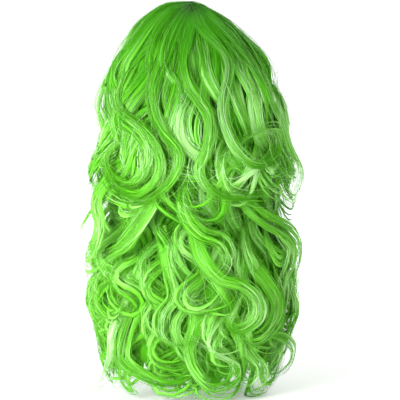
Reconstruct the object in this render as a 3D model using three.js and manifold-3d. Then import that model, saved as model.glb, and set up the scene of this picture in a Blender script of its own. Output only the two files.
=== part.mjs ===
// A long curly wig: a stretch cap that carries hair in two layers, parted along the middle.
// Units are millimetres. +Z is up, +Y points out of the face and +X to the wearer's right.
// The origin is the crown point inside the cap, where the wig sits on a head.

import * as THREE from "three";
import { mergeVertices } from "three/addons/utils/BufferGeometryUtils.js";
import Module from "manifold-3d";

const wasm = await Module();
wasm.setup();

const { clamp, degToRad, lerp, smoothstep } = THREE.MathUtils;

// The head that the cap is cut for: an ellipsoid, longer below its widest level
const HEAD = { halfWidth: 77, halfDepth: 97, crown: 118, nape: 160 };
const HEAD_LEVEL = -HEAD.crown;

// The cap's wall, and the clearances between pieces
const CAP_WALL = 2;
const SEAT_GAP = 1.3;
const PARTING_GAP = 0.8;
const LOCK_GAP = 0.35;

// The dome of hair over the head, along the middle of its locks
const DOME = { halfWidth: 101, back: 122, front: 114, height: 152 };
const DOME_LEVEL = -140;
const DOME_RADIUS = 122;
const PARTING_SIDE = 0.09;

// The smooth hair over the crown, which the top layer's locks grow from: its thickness at the crown point,
// its drop to where it is full, its lower edge, and the share of its fall in which it thins to that edge
const CROWN = { top: 9.5, drop: 100, hem: -140, aboveRim: 3, edge: 3, thinFrom: 0.8, thinTo: 1.05 };
const FLUTE = { depth: 3, count: 6 };
// How flat the hair lies at the parting, how wide that is, and how much higher it stands on the left of it
const PARTING = { flat: 0.6, width: 0.3, lean: 5, leanFrom: 0.2 };

// The under layer: walls hung round the cap as wefts, from a root level that the top layer hides
const WEFT = { wall: 4.5, root: -57, top: -90, length: 346, depth: 9, crowding: 0.85, margin: 0.012 };
const RIDGE = { height: 9, coil: 4 };
// Heights above the wefts between which the crown hair's inner face steps out over them
const STEP_OUT = { from: 14, to: 3 };

// How a top lock is rooted in the crown hair, how a lock's width changes to the tip, and how flat it lies
const ROOT = { above: 84, highest: -50, sunk: 3.5, width: 0.5 };
const LOCK = { full: 0.42, taper: 0.6, tip: 0.26, flatness: 0.38, leastHalf: 1.5 };
// How far below a weft's edge its locks have their own section, and the angle of that section's side edges
const TAIL = { below: 10, edge: degToRad(25) };
// How far along a lock the waves set in and are full, how deep its coil is, and the least radius it swings on
const WAVE = { from: 125, to: 250, depth: 7, leastRadius: 40 };

// Faces along and around a lock, the cap, the crown and a weft
const LOCK_STEPS = 17;
const LOCK_SIDES = 5;
const TAIL_STEPS = 9;
const CAP_COLUMNS = 24;
const CAP_ROWS = 6;
const CROWN_COLUMNS = 12;
const CROWN_ROWS = 8;
const COLUMNS_A_LOCK = 2;
const WEFT_ROWS = 16;
// The step in which a lock's course is walked, and the steps over which its direction is taken
const COURSE_STEP = 2;
const DIRECTION_STEPS = 2;

// A table's rows as objects with the named columns
const table = (names, ...rows) =>
  rows.map((row) => Object.fromEntries(names.map((name, i) => [name, row[i]])));

// The cap's lower edge, from the nape round to the forehead
const RIM = table(
  ["azimuth", "height"],
  [0, -164],
  [45, -158],
  [72, -128],
  [88, -114],
  [104, -132],
  [126, -92],
  [152, -66],
  [180, -60],
);

// Level sections of the hanging hair, along the middle of the outer locks
const SECTIONS = table(
  ["height", "halfWidth", "back", "front", "inset"],
  [-140, 101, 122, 114, 12],
  [-185, 113, 125, 106, 18],
  [-235, 114, 124, 101, 21],
  [-275, 121, 124, 100, 9],
  [-325, 116, 119, 97, 1],
  [-375, 106, 112, 91, 0],
  [-440, 92, 100, 83, 0],
);

// A lock's length and width, the length, swing and phase of its waves, and the turn and radius of its hook
const LOCK_COLUMNS = ["length", "width", "wave", "swing", "phase", "hook", "hookRadius"];

// Locks of the top layer: tilt is the root's place along the parting, fall the azimuth where a lock hangs
const CROWN_LOCKS = table(
  ["node", "tilt", "fall", ...LOCK_COLUMNS],
  ["crown_hair_left", -14, -11, 304, 34, 112, 42, 250, -80, 30],
  ["crown_hair_left", -10, -31, 330, 40, 150, 46, 330, -150, 36],
  ["crown_hair_left", -4, -55, 335, 42, 130, 44, 330, -230, 30],
  ["crown_hair_left", 6, -78, 304, 42, 108, 46, 170, 90, 34],
  ["crown_hair_left", 20, -101, 300, 42, 104, 44, 20, -100, 30],
  ["crown_hair_left", 38, -123, 284, 40, 108, 42, 100, 110, 30],
  ["crown_hair_right", -14, 6, 325, 34, 112, 42, 290, 110, 38],
  ["crown_hair_right", -10, 24, 300, 38, 120, 34, 200, 220, 25],
  ["crown_hair_right", -4, 48, 318, 42, 112, 44, 200, 110, 34],
  ["crown_hair_right", 6, 74, 308, 42, 118, 48, 30, -110, 36],
  ["crown_hair_right", 20, 99, 300, 42, 106, 44, 60, 100, 32],
  ["crown_hair_right", 38, 123, 284, 40, 108, 42, 280, -110, 30],
);

// Wefts of the under layer, in order round the head, each with three like locks: fall is the azimuth of the
// middle one, and from lock to lock the azimuth goes on by spread
const WEFTS = table(
  ["node", "fall", "spread", ...LOCK_COLUMNS],
  ["side_hair_left", -110, 17, 388, 28, 104, 46, 210, -105, 24],
  ["back_hair_left", -56, 18.5, 408, 31, 104, 50, 180, -110, 24],
  ["back_hair_centre", 0, 18.5, 414, 29, 104, 50, 250, 104, 24],
  ["back_hair_right", 56, 18.5, 408, 31, 104, 50, 320, 110, 24],
  ["side_hair_right", 110, 17, 388, 28, 104, 46, 40, 105, 24],
);
const LOCKS_A_WEFT = 3;
// Locks get shorter towards the side that they hook to, so that each passes below the next
const STAGGER = 16;
const LENGTH_LOCKS = WEFTS.flatMap((weft) =>
  Array.from({ length: LOCKS_A_WEFT }, (_, i) => {
    const fromMiddle = i - (LOCKS_A_WEFT - 1) / 2;
    return {
      ...weft,
      tilt: null,
      fall: weft.fall + fromMiddle * weft.spread,
      length: weft.length - Math.sign(weft.hook) * fromMiddle * STAGGER,
    };
  }),
);

const hairGreen = new THREE.MeshStandardMaterial({ color: 0x6ec03f, roughness: 0.42, metalness: 0 });
const capGreen = new THREE.MeshStandardMaterial({ color: 0x1f4a17, roughness: 0.85, metalness: 0 });

// The value of a named column at a place between two rows, eased from row to row
function between(rows, key, column, value) {
  const last = rows.length - 1;
  const rising = rows[last][key] > rows[0][key];
  const past = rows.findIndex((row) => (rising ? row[key] > value : row[key] < value));
  if (past === 0) return rows[0][column];
  if (past < 0) return rows[last][column];
  const [before, after] = [rows[past - 1], rows[past]];
  const share = (value - before[key]) / (after[key] - before[key]);
  return lerp(before[column], after[column], smoothstep(share, 0, 1));
}

// A point on the head's surface grown by an offset; azimuth 0 is the back and 90 the wearer's right
function headPoint(azimuth, polar, offset) {
  const reach = Math.cos(polar) > 0 ? HEAD.crown : HEAD.nape;
  return new THREE.Vector3(
    (HEAD.halfWidth + offset) * Math.sin(polar) * Math.sin(azimuth),
    -(HEAD.halfDepth + offset) * Math.sin(polar) * Math.cos(azimuth),
    HEAD_LEVEL + (reach + offset) * Math.cos(polar),
  );
}

// The angle from the crown at which the head's surface, grown by an offset, has a height
function headPolar(height, offset) {
  const reach = height > HEAD_LEVEL ? HEAD.crown : HEAD.nape;
  return Math.acos((height - HEAD_LEVEL) / (reach + offset));
}

// Half axes of the head grown by an offset, in the level section at a height
function headSection(height, offset) {
  const share = Math.sin(headPolar(Math.max(height, HEAD_LEVEL - HEAD.nape / 2), offset));
  return {
    halfWidth: (HEAD.halfWidth + offset) * share,
    back: (HEAD.halfDepth + offset) * share,
    front: (HEAD.halfDepth + offset) * share,
  };
}

// Half axes of the hair, in the level section at a height
function hairSection(height) {
  if (height > DOME_LEVEL) {
    const share = Math.sqrt(Math.max(0, 1 - ((height - DOME_LEVEL) / DOME.height) ** 2));
    return {
      halfWidth: DOME.halfWidth * share,
      back: DOME.back * share,
      front: DOME.front * share,
    };
  }
  return {
    halfWidth: between(SECTIONS, "height", "halfWidth", height),
    back: between(SECTIONS, "height", "back", height),
    front: between(SECTIONS, "height", "front", height),
  };
}

// A point of a level section, moved inwards by an inset
function sectionPoint(section, azimuth, height, inset) {
  const depth = Math.cos(azimuth) > 0 ? section.back : section.front;
  return new THREE.Vector3(
    (section.halfWidth - inset) * Math.sin(azimuth),
    -(depth - inset) * Math.cos(azimuth),
    height,
  );
}

// A closed wall between two surfaces given over a grid; a wall that wraps has no side edges. A tail runs on
// from some columns of its lower edge as a tube: its rings go along the outer side and back along the inner
function wall({ columns, rows, wraps = false, innerAt, outerAt, tails = [] }) {
  const positions = [];
  const indices = [];
  const across = columns + 1;
  const layer = across * (rows + 1);
  for (const pointAt of [outerAt, innerAt]) {
    for (let r = 0; r <= rows; r++) {
      for (let c = 0; c <= columns; c++) {
        const turn = wraps && c === columns ? 0 : c / columns;
        positions.push(...pointAt(turn, r / rows).toArray());
      }
    }
  }
  const quad = (a, b, c, d) => indices.push(a, b, c, a, c, d);
  const at = (r, c, side) => side * layer + r * across + c;
  for (let r = 0; r < rows; r++) {
    for (let c = 0; c < columns; c++) {
      quad(at(r, c, 0), at(r + 1, c, 0), at(r + 1, c + 1, 0), at(r, c + 1, 0));
      quad(at(r, c, 1), at(r, c + 1, 1), at(r + 1, c + 1, 1), at(r + 1, c, 1));
    }
    if (!wraps) {
      quad(at(r, 0, 0), at(r, 0, 1), at(r + 1, 0, 1), at(r + 1, 0, 0));
      quad(at(r, columns, 0), at(r + 1, columns, 0), at(r + 1, columns, 1), at(r, columns, 1));
    }
  }
  const tailed = new Set();
  for (const { from, to, rings } of tails) {
    const spread = Array.from({ length: to - from + 1 }, (_, i) => from + i);
    let edge = [...spread.map((c) => at(rows, c, 0)), ...spread.toReversed().map((c) => at(rows, c, 1))];
    for (const { points } of rings) {
      const next = points.map((_, k) => positions.length / 3 + k);
      positions.push(...points.flatMap((point) => point.toArray()));
      edge.forEach((a, k) => quad(a, next[k], next[(k + 1) % next.length], edge[(k + 1) % edge.length]));
      edge = next;
    }
    const tip = positions.length / 3;
    positions.push(...rings.at(-1).centre.toArray());
    edge.forEach((a, k) => indices.push(edge[(k + 1) % edge.length], a, tip));
    spread.slice(0, -1).forEach((c) => tailed.add(c));
  }
  for (let c = 0; c < columns; c++) {
    quad(at(0, c, 0), at(0, c + 1, 0), at(0, c + 1, 1), at(0, c, 1));
    if (tailed.has(c)) continue;
    quad(at(rows, c, 0), at(rows, c, 1), at(rows, c + 1, 1), at(rows, c + 1, 0));
  }
  return new THREE.BufferGeometry()
    .setAttribute("position", new THREE.Float32BufferAttribute(positions, 3))
    .setIndex(indices);
}

// A closed tube through rings of points, with a fan over each end
function loft(rings) {
  const sides = rings[0].points.length;
  const positions = rings.flatMap((ring) => ring.points.flatMap((point) => point.toArray()));
  const indices = [];
  for (let r = 0; r + 1 < rings.length; r++) {
    for (let s = 0; s < sides; s++) {
      const [a, b] = [r * sides + s, r * sides + ((s + 1) % sides)];
      indices.push(a, a + sides, b + sides, a, b + sides, b);
    }
  }
  for (const [ring, turn] of [[0, 0], [rings.length - 1, 1]]) {
    const centre = positions.length / 3;
    positions.push(...rings[ring].centre.toArray());
    for (let s = 0; s < sides; s++) {
      const edge = [ring * sides + s, ring * sides + ((s + 1) % sides)];
      indices.push(centre, edge[turn], edge[1 - turn]);
    }
  }
  return new THREE.BufferGeometry()
    .setAttribute("position", new THREE.Float32BufferAttribute(positions, 3))
    .setIndex(indices);
}

// A geometry as a solid: shared points become one, and triangles that then collapse are dropped
function solidOf(geometry) {
  const merged = mergeVertices(geometry, 1e-4);
  const faces = merged.index.array;
  const kept = [];
  for (let i = 0; i < faces.length; i += 3) {
    const [a, b, c] = [faces[i], faces[i + 1], faces[i + 2]];
    if (a !== b && b !== c && c !== a) kept.push(a, b, c);
  }
  return new wasm.Manifold(
    new wasm.Mesh({
      numProp: 3,
      vertProperties: merged.attributes.position.array,
      triVerts: new Uint32Array(kept),
    }),
  );
}

// A solid's largest body as a named mesh
function meshOf(name, solid, material) {
  const bodies = solid.decompose().sort((a, b) => b.volume() - a.volume());
  const { vertProperties, triVerts } = bodies[0].getMesh();
  const geometry = new THREE.BufferGeometry()
    .setAttribute("position", new THREE.BufferAttribute(vertProperties, 3))
    .setIndex(new THREE.BufferAttribute(triVerts, 1));
  geometry.computeVertexNormals();
  const mesh = new THREE.Mesh(geometry, material);
  mesh.name = name;
  return mesh;
}

// The cap: one wall over the head, cut to the rim
function capSolid(grow) {
  const surface = (offset) => (turn, share) => {
    const azimuth = turn * 2 * Math.PI;
    const fromBack = 180 - Math.abs(turn * 360 - 180);
    const rim = between(RIM, "azimuth", "height", fromBack) - grow;
    return headPoint(azimuth, share * headPolar(rim, 0), offset);
  };
  return solidOf(
    wall({
      columns: CAP_COLUMNS,
      rows: CAP_ROWS,
      wraps: true,
      innerAt: surface(-grow),
      outerAt: surface(CAP_WALL + grow),
    }),
  );
}

// The height of the crown hair's lower edge, which keeps above the cap's rim
function crownHem(azimuth) {
  return Math.max(CROWN.hem, between(RIM, "azimuth", "height", Math.abs(azimuth)) + CROWN.aboveRim);
}

// Half of the smooth hair over the crown, on one side of the parting, fluted along its fall
function crownBacking(side, grow) {
  const polarAt = (turn, share) => share * headPolar(crownHem(turn * 180) - grow, 0);
  const dropAt = (polar) => -headPoint(0, polar, 0).z;
  const seatAt = (polar) => {
    const overWeft = smoothstep(dropAt(polar), -WEFT.top - STEP_OUT.from, -WEFT.top - STEP_OUT.to);
    return CAP_WALL + SEAT_GAP + (WEFT.wall + SEAT_GAP) * overWeft;
  };
  const innerAt = (turn, share) => {
    const polar = polarAt(turn, share);
    return headPoint(turn * Math.PI, polar, seatAt(polar) - grow);
  };
  const outerAt = (turn, share) => {
    const polar = polarAt(turn, share);
    const sideways = Math.sin(turn * Math.PI);
    const fullness = smoothstep(dropAt(polar), 0, CROWN.drop);
    const flat = lerp(PARTING.flat, 1, smoothstep(sideways * polar, 0, PARTING.width));
    const full = lerp(CAP_WALL + CROWN.top * flat, DOME.halfWidth - HEAD.halfWidth, fullness);
    const flute = FLUTE.depth * Math.cos(turn * 2 * Math.PI * FLUTE.count) * share;
    const lean = PARTING.lean * sideways * smoothstep(share, 0, PARTING.leanFrom) * (1 - fullness);
    const thinned = smoothstep(share, CROWN.thinFrom, CROWN.thinTo);
    const thick = lerp(full + flute - side * lean, seatAt(polar) + CROWN.edge, thinned);
    return headPoint(turn * Math.PI, polar, thick + grow);
  };
  const half = solidOf(wall({ columns: CROWN_COLUMNS, rows: CROWN_ROWS, innerAt, outerAt }));
  const placed = side > 0 ? half : half.mirror([1, 0, 0]);
  return placed.trimByPlane([side, 0, 0], PARTING_GAP / 2 - grow);
}

// The root of a top lock on the parting and the place where it starts to hang, as directions from the head
function sweepOf(lock) {
  const [tilt, azimuth] = [degToRad(lock.tilt), degToRad(lock.fall)];
  const root = new THREE.Vector3(PARTING_SIDE * Math.sign(lock.fall), Math.sin(tilt), Math.cos(tilt));
  const fall = new THREE.Vector3(Math.sin(azimuth), -Math.cos(azimuth), 0);
  return { root: root.normalize(), fall, angle: root.angleTo(fall) };
}

// Where a lock's middle lies, from its run down the hair, its swing across and its coil outwards
function lockPoint(lock, { down, across, coil }) {
  let height = WEFT.root - down;
  let azimuth = degToRad(lock.fall);
  let inset = between(SECTIONS, "height", "inset", height);
  if (lock.tilt !== null) {
    const { root, fall, angle } = sweepOf(lock);
    const share = Math.min(1, down / (angle * DOME_RADIUS));
    const direction = root
      .multiplyScalar(Math.sin((1 - share) * angle))
      .addScaledVector(fall, Math.sin(share * angle))
      .normalize();
    azimuth = Math.atan2(direction.x, -direction.y);
    height = DOME_LEVEL + direction.z * DOME.height - Math.max(0, down - angle * DOME_RADIUS);
    inset = 0;
  }
  const section = hairSection(height);
  azimuth += across / Math.max(section.halfWidth, WAVE.leastRadius);
  const point = sectionPoint(section, azimuth, height, inset - coil * WAVE.depth);
  const normal = new THREE.Vector3(Math.sin(azimuth), -Math.cos(azimuth), 0);
  normal.z = height > DOME_LEVEL ? (height - DOME_LEVEL) / DOME.height : 0;
  return { point, normal: normal.normalize() };
}

// The course of a lock, walked in short steps: its heading swings in waves and turns into a hook
function courseOf(lock) {
  const hookLength = Math.abs(degToRad(lock.hook)) * lock.hookRadius;
  const course = [];
  let down = 0;
  let across = 0;
  for (let along = 0; along <= lock.length; along += COURSE_STEP) {
    const ramp = smoothstep(along, WAVE.from, WAVE.to);
    const turn = (along / lock.wave) * 2 * Math.PI + degToRad(lock.phase);
    const hooked = Math.max(0, 1 - (lock.length - along) / hookLength);
    course.push({ down, across, coil: ramp * lerp(Math.cos(turn), 1, hooked) });
    const heading = lerp(degToRad(lock.swing) * ramp * Math.sin(turn), degToRad(lock.hook), hooked);
    across += Math.sin(heading) * COURSE_STEP;
    down += Math.cos(heading) * COURSE_STEP;
  }
  return course;
}

// Rings round a lock's line, from a root at some point of it to its tip: flat, widest below the root and
// tapered, with the angles of their corners given, and grown where the lock clears a neighbour
function lockRings(lock, { first, steps, root, sunk, corners, grow }) {
  const line = courseOf(lock).map((place) => lockPoint(lock, place));
  const last = line.length - 1;
  const start = first(line);
  return Array.from({ length: steps + 1 }, (_, i) => {
    const share = i / steps;
    const at = Math.round(lerp(start, last, share));
    const { point, normal } = line[at];
    const before = line[Math.max(0, at - DIRECTION_STEPS)];
    const after = line[Math.min(last, at + DIRECTION_STEPS)];
    const along = after.point.clone().sub(before.point).normalize();
    const sideways = along.clone().cross(normal).normalize();
    const outwards = sideways.clone().cross(along);
    const grown = smoothstep(share, 0, LOCK.full);
    const swell = lerp(root, 1, grown);
    const half = (lock.width / 2) * swell * lerp(1, LOCK.tip, smoothstep(share, LOCK.taper, 1));
    const halfDepth = Math.max(LOCK.leastHalf, half * LOCK.flatness) + grow;
    const centre = point.clone().addScaledVector(outwards, -sunk * (1 - grown));
    const points = corners.map((angle) =>
      centre
        .clone()
        .addScaledVector(sideways, (half + grow) * Math.cos(angle))
        .addScaledVector(outwards, halfDepth * Math.sin(angle)),
    );
    return { centre, points };
  });
}

// One lock of the top layer, rooted in the crown hair
function crownLock(lock, grow) {
  const rootHeight = Math.min(crownHem(lock.fall) + ROOT.above, ROOT.highest);
  const rings = lockRings(lock, {
    first: (line) => line.findIndex(({ point }) => point.z < rootHeight),
    steps: LOCK_STEPS,
    root: ROOT.width,
    sunk: ROOT.sunk,
    corners: Array.from({ length: LOCK_SIDES }, (_, k) => (k / LOCK_SIDES) * 2 * Math.PI),
    grow,
  });
  return solidOf(loft(rings));
}

// One weft of the under layer: a wall round the cap whose ridges follow its locks as they wave down, with a
// tail for each lock below it
function weftSolid(node, grow) {
  const names = LENGTH_LOCKS.map((lock) => lock.node);
  const firstLock = names.indexOf(node);
  const margin = WEFT.margin - grow / LENGTH_LOCKS[firstLock].width;
  const courses = LENGTH_LOCKS.map(courseOf);
  const surface = (outer) => (turn, share) => {
    const place = firstLock + lerp(margin - 0.5, LOCKS_A_WEFT - 0.5 - margin, turn);
    const left = clamp(Math.floor(place), 0, names.length - 2);
    const along = lerp(WEFT.root - WEFT.top, WEFT.length, share ** WEFT.crowding);
    const at = Math.round(along / COURSE_STEP);
    const blend = (from, to) => lerp(from, to, place - left);
    const [near, far] = [courses[left][at], courses[left + 1][at]];
    const height = WEFT.root - blend(near.down, far.down) + lerp(grow, -grow, share);
    const hair = hairSection(height);
    const head = headSection(height, CAP_WALL + SEAT_GAP);
    const inset = between(SECTIONS, "height", "inset", height) + WEFT.depth;
    const section = {
      halfWidth: Math.max(head.halfWidth, hair.halfWidth - inset),
      back: Math.max(head.back, hair.back - inset),
      front: Math.max(head.front, hair.front - inset),
    };
    const fall = degToRad(blend(LENGTH_LOCKS[left].fall, LENGTH_LOCKS[left + 1].fall));
    const azimuth = fall + blend(near.across, far.across) / section.halfWidth;
    const full = smoothstep(along, WAVE.from, WAVE.to) * Math.cos(place * Math.PI) ** 2;
    const ridge = full * (RIDGE.height + RIDGE.coil * blend(near.coil, far.coil));
    return sectionPoint(section, azimuth, height, outer ? -WEFT.wall - ridge - grow : grow);
  };
  const angles = Array.from({ length: COLUMNS_A_LOCK + 1 }, (_, c) =>
    lerp(TAIL.edge, Math.PI - TAIL.edge, c / COLUMNS_A_LOCK),
  );
  const tails = Array.from({ length: LOCKS_A_WEFT }, (_, i) => ({
    from: i * COLUMNS_A_LOCK,
    to: (i + 1) * COLUMNS_A_LOCK,
    rings: lockRings(LENGTH_LOCKS[firstLock + i], {
      first: () => Math.round((WEFT.length + TAIL.below) / COURSE_STEP),
      steps: TAIL_STEPS,
      root: 1,
      sunk: 0,
      corners: [...angles, ...angles.toReversed().map((angle) => -angle)],
      grow,
    }),
  }));
  return solidOf(
    wall({
      columns: LOCKS_A_WEFT * COLUMNS_A_LOCK,
      rows: WEFT_ROWS,
      innerAt: surface(false),
      outerAt: surface(true),
      tails,
    }),
  );
}

// One half of the top layer: the crown hair on one side of the parting, with its locks
function crownHair(node, side, grow) {
  const own = CROWN_LOCKS.filter((lock) => lock.node === node);
  return wasm.Manifold.union([crownBacking(side, grow), ...own.map((lock) => crownLock(lock, grow))]);
}

// Hair is made from the outside in, and each piece is cut clear of the cap and of the pieces before it
const pieces = [
  { name: "crown_hair_left", solidAt: (grow) => crownHair("crown_hair_left", -1, grow) },
  { name: "crown_hair_right", solidAt: (grow) => crownHair("crown_hair_right", 1, grow) },
  ...WEFTS.map(({ node }) => ({ name: node, solidAt: (grow) => weftSolid(node, grow) })),
];

const wig = new THREE.Group();
wig.add(meshOf("wig_cap", capSolid(0), capGreen));
let taken = capSolid(LOCK_GAP);
for (const { name, solidAt } of pieces) {
  wig.add(meshOf(name, solidAt(0).subtract(taken), hairGreen));
  taken = taken.add(solidAt(LOCK_GAP)).add(solidAt(0));
}

export default wig;
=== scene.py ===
import math
from types import SimpleNamespace

import bpy
import numpy as np
from bpy.props import FloatProperty, FloatVectorProperty, IntProperty, PointerProperty
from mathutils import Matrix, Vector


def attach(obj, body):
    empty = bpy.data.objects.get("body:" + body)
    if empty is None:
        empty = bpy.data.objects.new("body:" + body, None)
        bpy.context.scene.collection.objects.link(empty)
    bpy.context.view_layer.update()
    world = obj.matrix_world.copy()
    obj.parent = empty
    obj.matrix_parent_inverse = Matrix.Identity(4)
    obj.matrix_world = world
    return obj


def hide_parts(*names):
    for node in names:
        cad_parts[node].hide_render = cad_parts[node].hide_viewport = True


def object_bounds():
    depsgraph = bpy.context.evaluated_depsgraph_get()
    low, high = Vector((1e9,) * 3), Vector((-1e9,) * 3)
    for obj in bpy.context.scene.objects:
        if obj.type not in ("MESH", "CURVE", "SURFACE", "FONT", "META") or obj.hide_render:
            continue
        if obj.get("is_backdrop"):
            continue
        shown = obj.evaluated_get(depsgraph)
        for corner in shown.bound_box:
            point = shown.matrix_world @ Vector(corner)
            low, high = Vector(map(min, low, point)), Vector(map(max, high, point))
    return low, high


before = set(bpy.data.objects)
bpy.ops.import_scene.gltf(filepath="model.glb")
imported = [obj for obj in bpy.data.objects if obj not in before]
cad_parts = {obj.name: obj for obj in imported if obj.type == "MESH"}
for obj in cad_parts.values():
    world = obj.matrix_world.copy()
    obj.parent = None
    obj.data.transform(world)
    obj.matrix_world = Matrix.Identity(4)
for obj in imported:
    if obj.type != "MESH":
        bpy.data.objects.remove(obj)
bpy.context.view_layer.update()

bl_info = {
    "name": "Curly wig",
    "version": (1, 0, 0),
    "blender": (4, 5, 0),
    "location": "3D View > Sidebar > Wig",
    "description": "Dresses a wig's cap with strands of curled hair",
    "category": "Object",
}

MM = 0.001
TURN = 2 * np.pi

# The cap's inner form, in millimetres, and the cosine of the angle where it ends below
CAP = SimpleNamespace(half_width=77, half_depth=97, crown=118, nape=160, end=-0.6)
CAP_LEVEL = -CAP.crown
CAP_WALL = 2
# The hair's dome over the cap
DOME = SimpleNamespace(half_width=101, back=122, front=114, height=152)
DOME_LEVEL = -140
DOME_RADIUS = 122
# How far roots start beyond the parting, and how far the top of the hair leans to the left
PARTING_SIDE = -0.015
LEAN = 6

# Where the waves set in along a strand and where they are full, and how deep they coil
WAVE = SimpleNamespace(begin=50, full=175, depth=7, least_radius=40)
# The top layer: where its locks gather, where the dome gets steep, and how high strands stand
CROWN = SimpleNamespace(gather=(40, 180), steep=100, lean_full=40, root_stand=3.0, stand=0.42, sunk=2.0)
# The under layer: the height of its roots and of its first strands, how its locks widen and stand, and how
# far they keep off the cap
WEFT = SimpleNamespace(root=-57, top=-90, widening=1.15, stand=0.45, off_cap=7)
# Laid locks: how high they come, where they gather and narrow, how wide they are at both ends, and how their
# bends stand out and catch the light; the glow is painted light on the bends and painted shade at the roots
LAID = SimpleNamespace(
    top=9, top_softness=2, gather=(15, 120), narrow=0.6, root=1.4, tip=0.6,
    bend=1.5, rise=3, stand=0.4, root_glow=-1, glow=1.3, shade=0.6,
)
# The height where the longest curls come to lie, and how softly they do
REST = SimpleNamespace(height=-435, softness=5)
# How far to the front the hair comes
FRONT = SimpleNamespace(reach=101, softness=3)
# The share of the half width where a lock laid over the back turns round the side
ROUND = 0.88
# The least half width that such a lock is set out on, and the points of its smooth course
LEAST_HALF_WIDTH = 5
COURSE_POINTS = 240

# How a lock is parted into curls
CURL = SimpleNamespace(
    overlap=1.1, hook_gain=0.9, rise_stray=0.1, tip=0.1,
    twist=(0.3, 1.0), ripple=(0.4, 1.0), ripple_wave=(75, 120), ripple_full=(30, 120),
)
# How a curl is combed into wisps: each is turned on from the last, and has grooves between its sides;
# wisps lying further out and a wisp's outer sides are lighter, inner ones darker, as painted light and shade
WISP = SimpleNamespace(
    count=3, turn=2.4, turn_stray=0.4, first_spot=0.4, flat=0.8,
    sway=(0.04, 0.14), sway_wave=130, sway_full=(20, 90),
    sides=8, depth=0.7, tip=0.06, groove=(0.82, 1.12), groove_frizz=0.05, pitch=3,
    tone_spread=0.06, side_spread=0.05, painted_upper_light=0.05, painted_outer_light=0.08,
)
# The single strands over a wisp: their arc round it, widths, tips and tones, with a share made lighter as
# painted glints
STRAND = SimpleNamespace(
    arc=(-0.3, np.pi + 0.3), near=0.8, height=1.1, gather=0.2, aside_frizz=24, height_frizz=14,
    width=(0.5, 1.3), depth=0.7, taper=0.7, tip=0.25, pitch=1, lighter=0.02, painted_glint_share=0.22,
)
# The strands that stray from a lock
LOOSE = SimpleNamespace(
    aside=(-1.5, 1.5), height=(0.3, 1.1), aside_frizz=8, height_frizz=12,
    width=(0.4, 0.7), tip=0.4, tone=0.66, tone_spread=0.12,
)
# Lengths and heights of a strand's own small waves, and where they set in and are full
FRIZZ = SimpleNamespace(waves=(70, 37, 21), height=(0.2, 1), begin=30, full=240)
# How far the curled tips catch the light, as a share of where a wave stands out
TIP_GLOW = 0.2
# Steps along a strand, and how they draw together towards the tip
CROWN_STEPS = 36
CROWN_TOP_STEPS = 8
WEFT_STEPS = 41
WEFT_PACE = 0.85
LAID_STEPS = 44
LAID_PACE = 0.9

# The flat sheet that a piece's strands are laid out on, side by side, in millimetres
SHEET_WIDTH = 1500
SHEET_GAP = 1.5
# How far apart strands of different tones lie in the pattern of fine lines
PATTERN_SHIFT = 900
# The even hair below: its cells on the sheet, its place in the pattern, and its tones, darker than the
# strands' as painted shade
MAT = SimpleNamespace(cell_width=4, cell_depth=5, pitch=3.0, length=200, tone=(0.2, 0.45))
# Its grid and thickness over the cap, and where it ends above the cap's rim
CROWN_MAT = SimpleNamespace(
    columns=25, rows=20, start=0.02, low=-138, off_rim=4, top=6, full=17, edge=0.6, off_cap=1.4
)
# Its grid under a weft, its length as a share of the weft's, its points at the lower edge, and its two sides
WEFT_MAT = SimpleNamespace(
    columns=37, rows=34, reach=1.5, length=0.86, points=0.015, wide=9, fine=35, outer=-8.0, inner=-9.8
)

# The floor's half width and its drop below the hair, in metres, and its glow near the wig and away from it
FLOOR = SimpleNamespace(reach=30, drop=0.0005, near=0.35, near_glow=0.24, far_glow=0.9)
# The round backdrop, in metres
BACKDROP = SimpleNamespace(radius=9, low=-1, high=12, sides=48, glow=1.05)
# The middle of the picture, at the wig
VIEW_CENTRE = Vector((0.0086, 0, -0.2146))


def table(names, *rows):
    """A table's rows as objects with the named columns."""
    return [SimpleNamespace(**dict(zip(names, row))) for row in rows]


# The lamps, with their power as a share of the key light's
LAMPS = table(
    ("name", "place", "size", "power"),
    ("key", (-1.3, -1.7, 0.25), 1.2, 1),
    ("rim", (0.9, 0.9, 1.1), 0.7, 0.2),
)

# The cap's lower edge, from the nape round to the front
RIM = table(
    ("azimuth", "height"),
    (0, -164),
    (45, -158),
    (72, -128),
    (88, -114),
    (104, -132),
    (126, -92),
    (152, -66),
    (180, -60),
)

# Level sections of the hanging hair, from the lowest up
SECTIONS = table(
    ("height", "half_width", "back", "front", "inset"),
    (-440, 92, 100, 83, 0),
    (-375, 106, 112, 91, 0),
    (-325, 116, 119, 97, 1),
    (-275, 121, 124, 100, 9),
    (-235, 114, 124, 101, 21),
    (-185, 113, 125, 106, 18),
    (-140, 101, 122, 114, 12),
)

LOCK_COLUMNS = ("length", "width", "wave", "swing", "phase", "hook", "hook_radius")

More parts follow.
